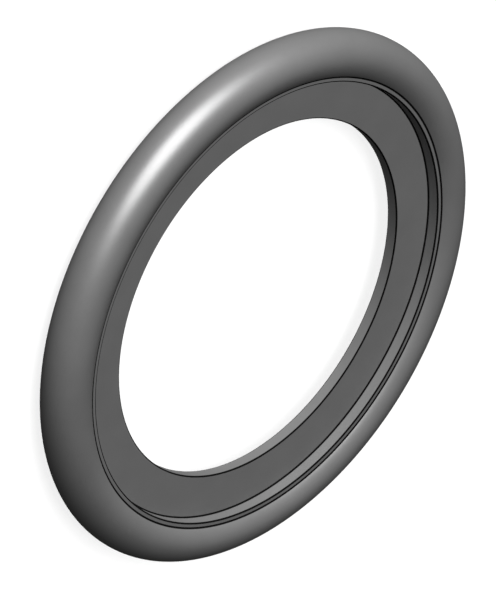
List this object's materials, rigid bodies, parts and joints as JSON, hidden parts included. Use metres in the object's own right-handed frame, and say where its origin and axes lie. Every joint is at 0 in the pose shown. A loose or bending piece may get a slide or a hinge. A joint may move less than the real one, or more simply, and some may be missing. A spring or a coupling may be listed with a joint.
{
  "type": "flanged o-ring",
  "caption": "Moulded sealing ring: a round bead around a thin flat flange, recessed alike on both sides, with a plain bore through it.",
  "frame": {"origin": "centre of the ring: on the bore's axis, on the middle plane of the bead and the flange", "axes": "+Z along the bore's axis, so the ring lies flat with its bead's lower crest at Z = -2 mm; both sides are alike, and X and Y are any two directions in the middle plane"},
  "size_m": [0.0444, 0.0444, 0.004],
  "materials": {
    "rubber": "satin moulded rubber, dark neutral grey"
  },
  "bodies": {
    "root": {"o_ring": "rubber"}
  },
  "joints": []
}
